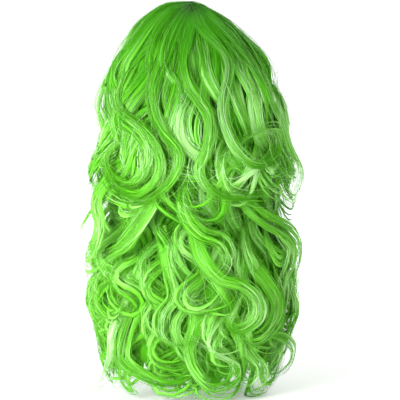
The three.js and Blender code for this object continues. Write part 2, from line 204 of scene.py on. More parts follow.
# Locks of the top layer: tilt is the root's place along the parting, fall the azimuth where a lock hangs
CROWN_LOCKS = table(
    ("node", "tilt", "fall", *LOCK_COLUMNS),
    ("crown_hair_left", -14, -9, 296, 32, 112, 42, 270, 70, 36),
    ("crown_hair_left", -10, -26, 300, 36, 108, 44, 60, -110, 34),
    ("crown_hair_left", -8, -44, 302, 36, 116, 42, 190, 95, 30),
    ("crown_hair_left", -2, -63, 300, 40, 110, 44, 320, -120, 32),
    ("crown_hair_left", 6, -82, 304, 42, 108, 46, 170, 90, 34),
    ("crown_hair_left", 20, -103, 300, 42, 104, 44, 20, -100, 30),
    ("crown_hair_left", 38, -123, 284, 40, 108, 42, 100, 110, 30),
    ("crown_hair_right", -14, 9, 288, 32, 104, 44, 195, 100, 36),
    ("crown_hair_right", -10, 26, 296, 34, 112, 44, 30, -105, 34),
    ("crown_hair_right", -7, 44, 290, 38, 106, 42, 250, 110, 30),
    ("crown_hair_right", -2, 60, 306, 42, 112, 44, 200, 110, 34),
    ("crown_hair_right", 6, 78, 314, 42, 118, 48, 30, -80, 40),
    ("crown_hair_right", 20, 99, 284, 42, 106, 44, 60, 100, 32),
    ("crown_hair_right", 38, 123, 284, 40, 108, 42, 280, -110, 30),
)
# The least spread of a lock's strands at the parting, how far it overlaps, and the foremost lock's spread
LEAST_SPREAD = SimpleNamespace(fall=13, tilt=4)
ROOT_OVERLAP = 1.2
FRONT_SPREAD = 19

# Wefts of the under layer, each with three like locks: from lock to lock the azimuth goes on by spread, and
# the length changes by STAGGER
WEFTS = table(
    ("node", "fall", "spread", *LOCK_COLUMNS),
    ("side_hair_left", -110, 17, 370, 28, 104, 46, 210, -105, 24),
    ("back_hair_left", -56, 18.5, 396, 31, 104, 50, 180, -110, 24),
    ("back_hair_centre", 0, 18.5, 414, 29, 104, 50, 250, 104, 24),
    ("back_hair_right", 56, 18.5, 396, 31, 104, 50, 320, 110, 24),
    ("side_hair_right", 110, 17, 370, 28, 104, 46, 40, 105, 24),
)
LOCKS_A_WEFT = 3
STAGGER = 16
# Added to the seed for the wefts
WEFT_SEED = 100

# Locks laid over the others: places along each as seen from the back, with its lift off the hair below
LAID_LOCKS = table(
    ("node", "width", "places"),
    ("crown_hair_left", 16, (
        (-3, 8, 0), (-16, -9, 1), (-28, -45, 1), (-40, -88, 4), (-28, -129, 8),
        (-12, -154, 10), (-16, -176, 12), (-44, -202, 10), (-70, -203, 8),
    )),
    ("crown_hair_left", 19, (
        (-5, 8, 0), (-31, -15, 0), (-61, -39, -1), (-79, -67, 0), (-84, -92, 2),
        (-75, -115, 6), (-54, -128, 10), (-36, -151, 13), (-38, -177, 13), (-57, -195, 12),
        (-79, -188, 10), (-87, -167, 9), (-76, -148, 9), (-61, -150, 9),
    )),
    ("crown_hair_right", 13, (
        (-1, 8, 0), (-6, -25, 1), (-10, -55, 2), (-5, -88, 4), (16, -124, 8),
        (14, -151, 11), (4, -174, 12), (14, -195, 12), (54, -206, 9), (82, -196, 8),
    )),
    ("crown_hair_right", 10, (
        (1, 8, 0), (12, -19, 1), (25, -34, 2), (35, -48, 3), (39, -62, 3), (37, -77, 4),
        (33, -93, 5), (32, -111, 6), (36, -132, 9), (46, -153, 13), (62, -165, 14), (79, -162, 13),
        (89, -147, 11), (84, -129, 9), (64, -132, 9), (47, -144, 9), (38, -163, 9),
    )),
    ("crown_hair_right", 13, (
        (4, 6, 0), (29, -18, 0), (53, -47, -1), (69, -73, 0), (85, -98, 3),
        (94, -120, 6), (100, -150, 10), (112, -178, 12), (108, -200, 11), (93, -214, 7),
    )),
    ("back_hair_centre", 12, (
        (-4, -164, -14), (-9, -192, -6), (-7, -220, 3), (10, -243, 9),
        (30, -254, 10), (36, -270, 10), (30, -284, 9), (14, -294, 7),
    )),
    ("back_hair_right", 11, (
        (2, -240, -6), (10, -268, 2), (28, -292, 8), (50, -300, 11), (62, -317, 12),
        (58, -340, 12), (44, -349, 11), (34, -338, 8), (40, -324, 6),
    )),
    ("back_hair_left", 14, (
        (-34, -168, -14), (-40, -192, -6), (-51, -224, 4),
        (-70, -254, 9), (-94, -272, 8), (-104, -290, 5),
    )),
    ("back_hair_centre", 12, (
        (4, -315, -6), (4, -345, -1), (-4, -370, 4), (2, -393, 9),
        (16, -409, 11), (34, -404, 11), (37, -386, 10), (23, -376, 8),
    )),
    ("back_hair_centre", 10, (
        (-40, -236, -16), (-34, -262, -12), (-26, -290, -5), (-20, -314, 3),
        (-32, -336, 8), (-29, -358, 10), (-12, -366, 10), (-3, -352, 8),
    )),
    ("back_hair_left", 14, (
        (-61, -298, -8), (-66, -330, -4), (-71, -362, 4), (-70, -386, 8),
        (-52, -402, 9), (-28, -411, 9), (-6, -405, 7), (4, -392, 5),
    )),
    ("side_hair_right", 12, (
        (46, -176, -14), (58, -204, -7), (80, -230, 1), (101, -246, 4),
        (112, -263, 4), (111, -282, 4), (102, -304, 4), (100, -326, 3),
    )),
    ("back_hair_right", 12, (
        (66, -275, -6), (80, -300, 3), (88, -324, 8), (82, -348, 10),
        (66, -362, 11), (50, -358, 9), (46, -344, 6),
    )),
    ("side_hair_right", 7, (
        (56, -298, -6), (68, -330, -2), (82, -356, 2), (96, -366, 8),
        (106, -381, 11), (103, -397, 12), (90, -408, 11), (76, -404, 9),
    )),
    ("back_hair_right", 13, (
        (38, -316, -6), (48, -348, -1), (57, -376, 4), (66, -396, 9),
        (60, -412, 10), (44, -414, 9), (36, -402, 6),
    )),
    ("side_hair_left", 11, (
        (-66, -142, -10), (-82, -170, -2), (-102, -208, 7), (-97, -236, 8),
        (-102, -258, 9), (-110, -276, 8), (-103, -294, 5),
    )),
    ("side_hair_left", 6, (
        (-72, -160, -10), (-88, -198, 0), (-106, -228, 9),
        (-111, -246, 13), (-104, -259, 12), (-94, -254, 9),
    )),
    ("side_hair_left", 9, (
        (-57, -266, -12), (-66, -296, -7), (-78, -330, -2), (-84, -362, 5), (-84, -386, 6),
        (-90, -404, 6), (-97, -417, 8), (-103, -424, 14), (-110, -427, 22),
    )),
)


def lerp(start, end, share):
    """The value at a share of the way between two."""
    return start + (end - start) * share


def smoothstep(value, start, end):
    """A share from 0 at the start to 1 at the end, eased at both."""
    share = np.clip((value - start) / (end - start), 0, 1)
    return share * share * (3 - 2 * share)


def eased(value, limit, softness):
    """A value kept above a limit that it comes softly near."""
    return limit + np.logaddexp(0, (value - limit) / softness) * softness


def between(rows, key, column, value):
    """The value of a named column at places between rows, eased from row to row."""
    keys = np.array([getattr(row, key) for row in rows], float)
    values = np.array([getattr(row, column) for row in rows], float)
    after = np.clip(np.searchsorted(keys, value), 1, len(keys) - 1)
    share = smoothstep(value, keys[after - 1], keys[after])
    return lerp(values[after - 1], values[after], share)


def joined(*columns):
    """Columns of coordinates as points."""
    return np.stack(np.broadcast_arrays(*columns), axis=-1)


def unit(vectors):
    """Vectors of length one."""
    return vectors / np.maximum(np.linalg.norm(vectors, axis=-1, keepdims=True), 1e-9)


def cap_point(azimuth, polar, offset):
    """A point on the cap's inner form grown by an offset; azimuth 0 is the back."""
    reach = np.where(np.cos(polar) > 0, CAP.crown, CAP.nape)
    return joined(
        (CAP.half_width + offset) * np.sin(polar) * np.sin(azimuth),
        -(CAP.half_depth + offset) * np.sin(polar) * np.cos(azimuth),
        CAP_LEVEL + (reach + offset) * np.cos(polar),
    )


def cap_polar(height):
    """The angle from the crown down to a height on the cap."""
    reach = np.where(height > CAP_LEVEL, CAP.crown, CAP.nape)
    return np.arccos(np.clip((height - CAP_LEVEL) / reach, CAP.end, 1))


def hair_section(height):
    """Half axes of the hair in the level section at a height: sideways, to the back and to the front."""
    dome = np.sqrt(np.clip(1 - ((height - DOME_LEVEL) / DOME.height) ** 2, 0, 1))
    low = np.minimum(height, DOME_LEVEL)
    hanging = height <= DOME_LEVEL
    return [
        np.where(hanging, between(SECTIONS, "height", name, low), getattr(DOME, name) * dome)
        for name in ("half_width", "back", "front")
    ]


def weft_section(height):
    """Half axes along the middle of the under layer's strands."""
    inset = between(SECTIONS, "height", "inset", np.minimum(height, DOME_LEVEL))
    share = np.sin(cap_polar(np.maximum(height, CAP_LEVEL - CAP.nape / 2)))
    least = CAP_WALL + WEFT.off_cap
    cap = [(half + least) * share for half in (CAP.half_width, CAP.half_depth, CAP.half_depth)]
    return [np.maximum(near, far - inset) for near, far in zip(cap, hair_section(height))]


def section_point(section, azimuth, height, lift):
    """A point of a level section, moved outwards by a lift."""
    half_width, back, front = section
    depth = np.where(np.cos(azimuth) > 0, back, front)
    return joined((half_width + lift) * np.sin(azimuth), -(depth + lift) * np.cos(azimuth), height)


def side_azimuth(share):
    """The azimuth at a share of the half width seen from the back; beyond ROUND it runs on round the side."""
    seen = np.clip(share, -ROUND, ROUND)
    return np.arcsin(seen) + (share - seen) / math.sqrt(1 - ROUND**2)


def surface_normal(azimuth, height):
    """The direction out of the hair's surface."""
    rise = np.where(height > DOME_LEVEL, (height - DOME_LEVEL) / DOME.height, 0)
    return unit(joined(np.sin(azimuth), -np.cos(azimuth), rise))


def rested(points):
    """Points kept off the floor and back from the front."""
    across, depth, height = np.moveaxis(points, -1, 0)
    return joined(
        across,
        -eased(-depth, -FRONT.reach, FRONT.softness),
        eased(height, REST.height, REST.softness),
    )


def laid_course(places):
    """A smooth course through a laid lock's places, by the length along it."""
    places = np.array(places, float)
    spot = np.append(0, np.cumsum(np.linalg.norm(np.diff(places[:, :2], axis=0), axis=1)))
    slope = np.gradient(places, spot, axis=0)
    fine = np.linspace(0, spot[-1], COURSE_POINTS)
    after = np.clip(np.searchsorted(spot, fine, side="right"), 1, len(spot) - 1)
    gap = (spot[after] - spot[after - 1])[:, None]
    share = (fine - spot[after - 1])[:, None] / gap
    across, height, lift = (
        places[after - 1] * (1 + 2 * share) * (1 - share) ** 2
        + places[after] * (3 - 2 * share) * share**2
        + slope[after - 1] * gap * share * (1 - share) ** 2
        - slope[after] * gap * (1 - share) * share**2
    ).T
    return SimpleNamespace(
        along=np.append(0, np.cumsum(np.hypot(np.diff(across), np.diff(height)))),
        across=across,
        height=height,
        lift=lift,
        heading=np.unwrap(np.arctan2(np.gradient(across), -np.gradient(height))),
    )


def course(lock, along):
    """The course of a lock's strands: how they run down and across, head, coil and catch the light."""
    hook_length = np.abs(np.radians(lock.hook)) * lock.hook_radius
    ramp = smoothstep(along, WAVE.begin, WAVE.full)
    turn = along / lock.wave * TURN + np.radians(lock.phase)
    hooked = np.clip(1 - (lock.length - along) / hook_length, 0, 1)
    heading = lerp(np.radians(lock.swing) * ramp * np.sin(turn), np.radians(lock.hook), hooked)
    step = np.diff(along, axis=1, prepend=along[:, :1] * 0)
    return SimpleNamespace(
        down=np.cumsum(np.cos(heading) * step, axis=1),
        across=np.cumsum(np.sin(heading) * step, axis=1),
        heading=heading,
        coil=ramp * lerp(np.cos(turn), 1, hooked),
        # Painted light: lighter where a wave stands out, darker where it turns in, less at the hooked tips
        glow=ramp * lerp(np.cos(turn), TIP_GLOW, hooked),
    )


def crown_place(side, tilt, fall, down):
    """Azimuth and height on the way from a root on the parting to where the hair hangs."""
    tilt = np.radians(tilt)
    fall = np.radians(fall)
    root = unit(joined(PARTING_SIDE * side, np.sin(tilt), np.cos(tilt)))
    hang = joined(np.sin(fall), -np.cos(fall), 0)
    angle = np.arccos(np.clip((root * hang).sum(-1), -1, 1))
    share = np.minimum(1, down / (angle * DOME_RADIUS))
    way = unit(
        root * np.sin((1 - share) * angle)[..., None] + hang * np.sin(share * angle)[..., None]
    )
    height = DOME_LEVEL + way[..., 2] * DOME.height - np.maximum(0, down - angle * DOME_RADIUS)
    return np.arctan2(way[..., 0], -way[..., 1]), height


class HairMesh:
    """Vertices, faces, paint and flat sheet of one piece of hair, gathered strand by strand."""

    def __init__(self):
        self.points = []
        self.faces = []
        self.sheet = []
        self.tone = []
        self.run = []
        self.lay = []
        self.count = 0
        self.shelf = SimpleNamespace(across=0.0, down=0.0, depth=0.0)

    def cell(self, width, depth):
        """The corner of a new cell of the flat sheet."""
        shelf = self.shelf
        if shelf.across + width > SHEET_WIDTH:
            shelf.across = 0.0
            shelf.down += shelf.depth + SHEET_GAP
            shelf.depth = 0.0
        corner = (shelf.across, shelf.down)
        shelf.across += width + SHEET_GAP
        shelf.depth = max(shelf.depth, depth)
        return corner

    def add(self, points, faces, sheet, tone, run, lay):
        """Takes in points with their paint, and faces with the places of their corners on the sheet."""
        for face in faces:
            self.faces += (face + self.count).tolist()
        self.sheet += [corners.reshape(-1, 2) for corners in sheet]
        self.points.append(points.reshape(-1, 3))
        self.tone.append(np.ravel(tone))
        self.run.append(np.ravel(run))
        self.lay.append(lay.reshape(-1, 3))
        self.count += self.points[-1].shape[0]

    def tubes(self, points, along, tone, pitch, hidden):
        """Closed tubes: points by strand, step and corner; hidden is the length above the first step."""
        count, steps, sides, _ = points.shape
        shape = (count, steps, sides)
        index = np.arange(count * steps * sides).reshape(shape)
        after = np.roll(index, -1, axis=2)
        quads = np.stack([index[:, :-1], after[:, :-1], after[:, 1:], index[:, 1:]], axis=-1)
        run = np.broadcast_to(((along + hidden) / (along[:, -1:] + hidden))[..., None], shape)
        tone = np.broadcast_to(tone, shape)
        lay = joined(
            np.broadcast_to(np.arange(sides) * pitch, shape),
            np.broadcast_to(along[..., None], shape),
            tone[:, :1, :1] * PATTERN_SHIFT,
        )
        cells = np.array([self.cell(sides * pitch, length) for length in along[:, -1]])
        flat = joined(
            cells[:, 0, None, None] + np.arange(sides + 1) * pitch,
            cells[:, 1, None, None] + along[..., None],
        )
        corners = [flat[:, :-1, :-1], flat[:, :-1, 1:], flat[:, 1:, 1:], flat[:, 1:, :-1]]
        self.add(
            points,
            [quads.reshape(-1, 4), index[:, 0, ::-1], index[:, -1]],
            [np.stack(corners, axis=-2), flat[:, 0, -2::-1], flat[:, -1, :-1]],
            tone,
            run,
            lay,
        )

    def strands(self, lines, normals, half_width, along, tone, hidden):
        """Tapered three-sided strands along lines."""
        tangent = unit(np.gradient(lines, axis=1))
        sideways = unit(np.cross(tangent, normals))
        outwards = np.cross(sideways, tangent)
        angles = np.pi / 2 + np.arange(3) * TURN / 3
        reach = half_width[..., None, None]
        points = (
            lines[:, :, None, :]
            + sideways[:, :, None, :] * reach * np.cos(angles)[:, None]
            + outwards[:, :, None, :] * reach * np.sin(angles)[:, None] * STRAND.depth
        )
        self.tubes(points, along, tone[..., None], STRAND.pitch, hidden)

    def mat(self, outer, inner, rng):
        """A closed sheet of even hair between two grids of points, under the strands."""
        rows, columns, _ = outer.shape
        area = rows * columns
        index = np.arange(2 * area).reshape(2, rows, columns)

        def quads(a, b, c, d):
            return np.stack([a, b, c, d], axis=-1).reshape(-1, 4)

        out, back = index
        faces = [
            quads(out[:-1, :-1], out[1:, :-1], out[1:, 1:], out[:-1, 1:]),
            quads(back[:-1, :-1], back[:-1, 1:], back[1:, 1:], back[1:, :-1]),
        ]
        for edge, turned in ((0, False), (-1, True)):
            for a, b in ((out[edge], back[edge]), (back[:, edge], out[:, edge])):
                face = quads(a[:-1], a[1:], b[1:], b[:-1])
                faces.append(face[:, ::-1] if turned else face)
        points = np.stack([outer, inner])
        shape = points.shape[:3]
        run = np.broadcast_to(np.linspace(0, 1, rows)[None, :, None], shape)
        lay = joined(
            np.broadcast_to(np.arange(columns) * MAT.pitch, shape), run * MAT.length, np.zeros(shape)
        )
        across = np.arange(columns) * MAT.cell_width
        down = np.arange(rows)[:, None] * MAT.cell_depth
        cells = [self.cell(columns * MAT.cell_width, rows * MAT.cell_depth) for side in index]
        flat = np.concatenate([joined(left + across, top + down).reshape(-1, 2) for left, top in cells])
        sheet = [flat[face] for face in faces[:2]] + [flat[face % area] for face in faces[2:]]
        # The mat's darker tones are painted shade under the strands
        tone = np.broadcast_to(rng.uniform(*MAT.tone, columns), shape)
        self.add(points, faces, sheet, tone, run, lay)

    def piece(self, node, material):
        """The hair as a piece that stands for its node."""
        mesh = bpy.data.meshes.new(node + "_strands")
        mesh.from_pydata(np.concatenate(self.points) * MM, [], self.faces)
        for name, values in (("tone", self.tone), ("run", self.run)):
            attribute = mesh.attributes.new(name, "FLOAT", "POINT")
            attribute.data.foreach_set("value", np.concatenate(values).astype(np.float32))
        attribute = mesh.attributes.new("lay", "FLOAT_VECTOR", "POINT")
        attribute.data.foreach_set("vector", np.concatenate(self.lay).astype(np.float32).ravel())
        corners = np.concatenate(self.sheet)
        layout = mesh.uv_layers.new(name="OFBake")
        layout.data.foreach_set("uv", (corners / corners.max()).astype(np.float32).ravel())
        mesh.shade_smooth()
        mesh.materials.append(material)
        piece = bpy.data.objects.new(mesh.name, mesh)
        bpy.context.scene.collection.objects.link(piece)
        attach(piece, "root")
        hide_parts(node)


def moved(rng, lock, count, **ranges):
    """A lock's columns for a number of strands, each moved at random within its range."""
    values = {name: np.full((count, 1), 1.0) * getattr(lock, name) for name in LOCK_COLUMNS}
    for name, reach in ranges.items():
        low, high = reach if isinstance(reach, tuple) else (-reach, reach)
        values[name] = values[name] + rng.uniform(low, high, (count, 1))
    return SimpleNamespace(**values)


def frizz(rng, along, size):
    """Small waves of each strand's own, which grow towards its tip."""
    count = len(along)
    total = np.zeros_like(along)
    for wave in FRIZZ.waves:
        phase = rng.uniform(0, TURN, (count, 1))
        height = rng.uniform(*FRIZZ.height, (count, 1))
        total += np.sin(along / wave * TURN + phase) * height * wave / FRIZZ.waves[0]
    return total * size * smoothstep(along, FRIZZ.begin, FRIZZ.full)


def width_profile(share):
    """How wide a lock is along its length, as a share of its greatest width."""
    return lerp(1, 0.75, smoothstep(share, 0.5, 1))


def tip_profile(share, start, sharp):
    """How a wisp or strand narrows to its tip."""
    return lerp(1, sharp, smoothstep(share, start, 1.0))


def crown_lines(lock, strand, along, aside, depth):
    """Lines of the top layer: aside and depth are places across the lock, in shares of its half width."""
    side = math.copysign(1, lock.fall)
    line = course(strand, along)
    gathered = smoothstep(along, *CROWN.gather)
    fall = lock.fall + aside[:, :1] * lock.spread
    tilt = lock.tilt + aside[:, :1] * lock.tilt_spread * side
    half = lock.width / 2 * width_profile(along / lock.length)
    out = half * (aside - (1 - gathered) * aside[:, :1])
    down = np.maximum(line.down - out * np.sin(line.heading), 0)
    azimuth, height = crown_place(side, tilt, fall, down)
    middle_azimuth, middle_height = crown_place(side, lock.tilt, lock.fall, down)
    height = lerp(height, middle_height, gathered)
    section = hair_section(height)
    across = line.across + out * np.cos(line.heading)
    azimuth = lerp(azimuth, middle_azimuth, gathered)
    azimuth = azimuth + across / np.maximum(section[0], WAVE.least_radius)
    normal = surface_normal(azimuth, height)
    flat = 1 - smoothstep(-height, 0, CROWN.steep)
    lean = -side * LEAN * np.abs(np.sin(azimuth)) * flat * smoothstep(along, 0, CROWN.lean_full)
    stand = lerp(CROWN.root_stand, half * CROWN.stand, gathered) * depth
    lift = lean + stand - CROWN.sunk * (1 - gathered)
    point = section_point(section, azimuth, height, line.coil * WAVE.depth)
    return rested(point + normal * lift[..., None]), normal, line.glow


def weft_lines(lock, strand, along, aside, depth):
    """Lines of the under layer."""
    line = course(strand, along)
    half = lock.width / 2 * WEFT.widening * width_profile(along / lock.length)
    out = half * aside
    height = WEFT.root - line.down + out * np.sin(line.heading)
    height = eased(height, REST.height, REST.softness)
    section = weft_section(height)
    across = line.across + out * np.cos(line.heading)
    azimuth = np.radians(lock.fall) + across / section[0]
    lift = line.coil * WAVE.depth + half * WEFT.stand * depth
    normal = surface_normal(azimuth, np.minimum(height, DOME_LEVEL))
    return rested(section_point(section, azimuth, height, lift)), normal, line.glow


def laid_lines(lock, strand, along, aside, depth):
    """Lines of a lock that is laid over the others."""
    path = lock.path
    gathered = smoothstep(along, *LAID.gather)
    at = along + strand.phase * gathered
    past = np.maximum(at - path.along[-1], 0)
    heading = np.interp(at, path.along, path.heading)
    half = lock.width / 2 * lerp(LAID.root, 1, gathered)
    half = half * tip_profile(along / lock.length, LAID.narrow, LAID.tip)
    out = half * aside
    across = np.interp(at, path.along, path.across) + strand.swing * gathered
    across = across + out * np.cos(heading) + past * np.sin(heading)
    height = np.interp(at, path.along, path.height) + strand.wave * gathered
    height = height + out * np.sin(heading) - past * np.cos(heading)
    height = -eased(-height, -LAID.top, LAID.top_softness)
    section = hair_section(height)
    azimuth = side_azimuth(across / np.maximum(section[0], LEAST_HALF_WIDTH))
    normal = surface_normal(azimuth, height)
    bulge = np.cos(heading * LAID.bend)
    rise = LAID.rise * bulge + half * LAID.stand * depth
    lift = np.interp(at, path.along, path.lift) + gathered * rise
    point = section_point(section, azimuth, height, 0)
    # Painted highlight on the lock's bends and painted shade at its root
    glow = lerp(LAID.root_glow, bulge * LAID.glow - LAID.shade, gathered)
    return rested(point + normal * lift[..., None]), normal, glow


def crown_along(strand):
    """Steps along strands of the top layer, closer where they curl."""
    top = np.linspace(0, WAVE.begin, CROWN_TOP_STEPS)[:-1]
    low = lerp(WAVE.begin, strand.length, np.linspace(0, 1, CROWN_STEPS - len(top)))
    return np.concatenate([np.broadcast_to(top, (len(low), len(top))), low], axis=1)


def weft_along(strand):
    """Steps along strands of the under layer."""
    return lerp(WEFT.root - WEFT.top, strand.length, np.linspace(0, 1, WEFT_STEPS) ** WEFT_PACE)


def laid_along(strand):
    """Steps along strands of a laid lock."""
    return lerp(0, strand.length, np.linspace(0, 1, LAID_STEPS) ** LAID_PACE)


# The three layers' lines, tones, painted light and shade, sizes of curls and wisps, and what they stray by
LAYERS = table(
    ("name", "crown", "weft", "laid"),
    ("lines", crown_lines, weft_lines, laid_lines),
    ("steps", crown_along, weft_along, laid_along),
    # The laid locks' lighter and the crown rows' darker base tone are painted light on top and painted shade
    # below
    ("tone", 0.48, 0.52, 0.62),
    ("tone_spread", 0.1, 0.06, 0.06),
    ("strand_spread", 0.12, 0.05, 0.06),
    # Painted glints: how much lighter a share of the strands is made
    ("bright_tone", 0.32, 0.15, 0.2),
    # Painted highlight where strands bulge out, painted shade where they turn away
    ("bulge_tone", 0.22, 0.12, 0.16),
    ("curls", 3, 3, 2),
    ("curl_up", (0.8, 1.6), (1.0, 2.5), (1, 1)),
    ("flips", 0.2, 0.3, 0),
    ("rise", 0.15, 0.4, 0.2),
    ("shorter", (0, 30), (20, 120), (0, 14)),
    ("twist", 90, 160, 120),
    ("ripple", 0.3, 0.12, 0.15),
    ("taper", 0.75, 0.86, 0.6),
    ("wisp_size", (0.42, 0.75), (0.36, 0.64), (0.22, 0.42)),
    ("fluff", 1.6, 1.9, 2.4),
    ("frizz", 1.2, 1.4, 3),
    (
        "stray",
        {"length": (-26, 14), "wave": 8, "swing": 7, "phase": 30, "hook_radius": 5},
        {"length": (-10, 46), "wave": (-34, 6), "swing": 10, "phase": 110, "hook_radius": (-8, 3)},
        {"length": 12, "phase": 8, "swing": 3, "wave": 3},
    ),
    (
        "wisp_stray",
        {"length": (-14, 8), "wave": 2, "phase": 6, "swing": 3, "hook": 9, "hook_radius": 2},
        {"length": (-14, 8), "wave": 2, "phase": 8, "swing": 4, "hook": 9, "hook_radius": 2},
        {"length": (-36, 6), "phase": 14, "swing": 4, "wave": 4},
    ),
    (
        "strand_stray",
        {"length": (-12, 6), "phase": 5, "swing": 3, "hook": 9},
        {"length": (-16, 8), "phase": 7, "swing": 4, "hook": 14},
        {"length": (-24, 8), "phase": 8, "swing": 2, "wave": 2},
    ),
    (
        "loose_stray",
        {"length": (-40, 2), "phase": 50, "swing": 14, "wave": 14, "hook": 30},
        {"length": (-80, -10), "phase": 50, "swing": 14, "wave": 14, "hook": 30},
        {"length": (-60, 10), "phase": 16, "swing": 5, "wave": 5},
    ),
)
CROWN_LAYER, WEFT_LAYER, LAID_LAYER = (
    SimpleNamespace(**{row.name: getattr(row, layer) for row in LAYERS})
    for layer in ("crown", "weft", "laid")
)


def parted_curl(rng, lock, layer, place, outer):
    """One curl of a lock, with its own course, and how it rises, twists and ripples about its place."""
    curl = moved(rng, lock, 1, **layer.stray)
    turned = rng.uniform(*layer.curl_up)
    longer = np.radians(np.abs(curl.hook)) * (turned - 1) * curl.hook_radius * CURL.hook_gain
    curl.hook = curl.hook * turned
    if rng.random() < layer.flips:
        curl.hook = -curl.hook
    curl.place = place
    curl.rise = layer.rise * (1 if outer else -1) + rng.uniform(-CURL.rise_stray, CURL.rise_stray)
    curl.length = curl.length + longer - outer * rng.uniform(*layer.shorter)
    curl.twist = np.radians(rng.uniform(*CURL.twist) * layer.twist)
    curl.ripple = rng.uniform(*CURL.ripple) * layer.ripple
    curl.ripple_wave = rng.uniform(*CURL.ripple_wave)
    curl.ripple_start = rng.uniform(0, TURN)
    curl.tone = rng.normal(layer.tone, layer.tone_spread)
    return curl


def combed_wisp(rng, curl, layer, number, half):
    """One wisp of a curl, with its place in it, its size, sway and tone."""
    wisp = moved(rng, curl, 1, **layer.wisp_stray)
    spot = half * math.sqrt((number + WISP.first_spot) / WISP.count)
    bearing = number * WISP.turn + rng.uniform(-WISP.turn_stray, WISP.turn_stray)
    wisp.across = spot * math.cos(bearing)
    wisp.above = spot * math.sin(bearing) * WISP.flat
    wisp.size = half * rng.uniform(*layer.wisp_size)
    wisp.sway = rng.uniform(*WISP.sway)
    wisp.sway_start = rng.uniform(0, TURN)
    # Wisps lying further out are lighter: painted light and shade by depth
    wisp.tone = rng.normal(curl.tone + WISP.painted_upper_light * wisp.above, WISP.tone_spread)
    return wisp


def wisp_centre(lock, layer, curl, wisp, along):
    """The middle of a wisp: its places aside and deep in the lock, in shares of the half width."""
    turn = curl.twist * smoothstep(along, WAVE.begin, lock.length)
    narrow = tip_profile(along / curl.length, layer.taper, CURL.tip)
    sway = wisp.sway * np.sin(along / WISP.sway_wave * TURN + wisp.sway_start)
    sway = sway * smoothstep(along, *WISP.sway_full)
    swell = curl.ripple * smoothstep(along, *CURL.ripple_full)
    wave = along / curl.ripple_wave * TURN + curl.ripple_start
    across = (wisp.across * np.cos(turn) - wisp.above * np.sin(turn)) * narrow
    above = (wisp.above * np.cos(turn) + wisp.across * np.sin(turn)) * narrow
    return curl.place + across + sway + swell * np.sin(wave), curl.rise + above + swell * np.cos(wave)


def add_wisp(hair, rng, lock, layer, curl, wisp):
    """Adds a wisp's grooved body."""
    body = moved(rng, wisp, WISP.sides)
    along = layer.steps(body)
    angle = np.linspace(0, TURN, WISP.sides, endpoint=False)[:, None]
    groove = rng.uniform(*WISP.groove, (WISP.sides, 1)) + frizz(rng, along, WISP.groove_frizz)
    reach = wisp.size * tip_profile(along / body.length, layer.taper, WISP.tip) * groove
    aside, depth = wisp_centre(lock, layer, curl, wisp, along)
    aside = aside + reach * np.cos(angle)
    depth = depth + reach * np.sin(angle) * WISP.depth
    points, _, bulge = layer.lines(lock, body, along, aside, depth)
    # Outer sides lighter, inner sides darker: painted light and shade
    tone = wisp.tone + rng.normal(0, WISP.side_spread, (WISP.sides, 1)) + WISP.painted_outer_light * np.sin(angle)
    tone = tone + layer.bulge_tone * bulge
    hair.tubes(points.transpose(1, 0, 2)[None], along[:1], tone.T[None], WISP.pitch, lock.hidden)


def add_strands(hair, rng, lock, layer, settings, curl, wisp):
    """Adds the single strands over a wisp."""
    count = int(lock.strands / (WISP.count * layer.curls))
    strand = moved(rng, wisp, count, **layer.strand_stray)
    along = layer.steps(strand)
    share = along / strand.length
    angle = rng.uniform(*STRAND.arc, (count, 1))
    reach = wisp.size * rng.uniform(STRAND.near, layer.fluff, (count, 1))
    reach = reach * tip_profile(share, layer.taper, STRAND.gather)
    aside, depth = wisp_centre(lock, layer, curl, wisp, along)
    aside = aside + reach * np.cos(angle)
    aside = aside + frizz(rng, along, settings.frizz / STRAND.aside_frizz * layer.frizz)
    depth = depth + reach * np.sin(angle) * STRAND.height
    depth = depth + frizz(rng, along, settings.frizz / STRAND.height_frizz * layer.frizz)
    lines, normals, bulge = layer.lines(lock, strand, along, aside, depth)
    width = settings.strand_width / MM / 2 * tip_profile(share, STRAND.taper, STRAND.tip)
    # Painted glints: a share of strands made lighter at random
    painted_glint = layer.bright_tone * (rng.random((count, 1)) < STRAND.painted_glint_share)
    tone = wisp.tone + rng.normal(STRAND.lighter, layer.strand_spread, (count, 1)) + painted_glint
    tone = tone + layer.bulge_tone * bulge
    width = width * rng.uniform(*STRAND.width, (count, 1))
    hair.strands(lines, normals, width, along, tone, lock.hidden)


def add_loose_strands(hair, rng, lock, layer, settings):
    """Adds the strands that stray from a lock."""
    count = settings.loose_strands
    loose = moved(rng, lock, count, **layer.loose_stray)
    along = layer.steps(loose)
    aside = rng.uniform(*LOOSE.aside, (count, 1)) + frizz(rng, along, settings.frizz / LOOSE.aside_frizz)
    depth = rng.uniform(*LOOSE.height, (count, 1)) + frizz(rng, along, settings.frizz / LOOSE.height_frizz)
    lines, normals, bulge = layer.lines(lock, loose, along, aside, depth)
    width = settings.strand_width / MM / 2 * tip_profile(along / loose.length, STRAND.taper, LOOSE.tip)
    tone = rng.normal(LOOSE.tone, LOOSE.tone_spread, (count, 1)) + layer.bulge_tone * bulge
    width = width * rng.uniform(*LOOSE.width, (count, 1))
    hair.strands(lines, normals, width, along, tone, lock.hidden)


def comb(hair, lock, layer, settings, rng):
    """Parts a lock into curls, each combed into wisps with strands over them; a few strands stray."""
    half = CURL.overlap / layer.curls
    for at, place in enumerate(np.linspace(half - 1, 1 - half, layer.curls)):
        curl = parted_curl(rng, lock, layer, place, at % 2)
        for number in range(WISP.count):
            wisp = combed_wisp(rng, curl, layer, number, half)
            add_wisp(hair, rng, lock, layer, curl, wisp)
            add_strands(hair, rng, lock, layer, settings, curl, wisp)
    add_loose_strands(hair, rng, lock, layer, settings)


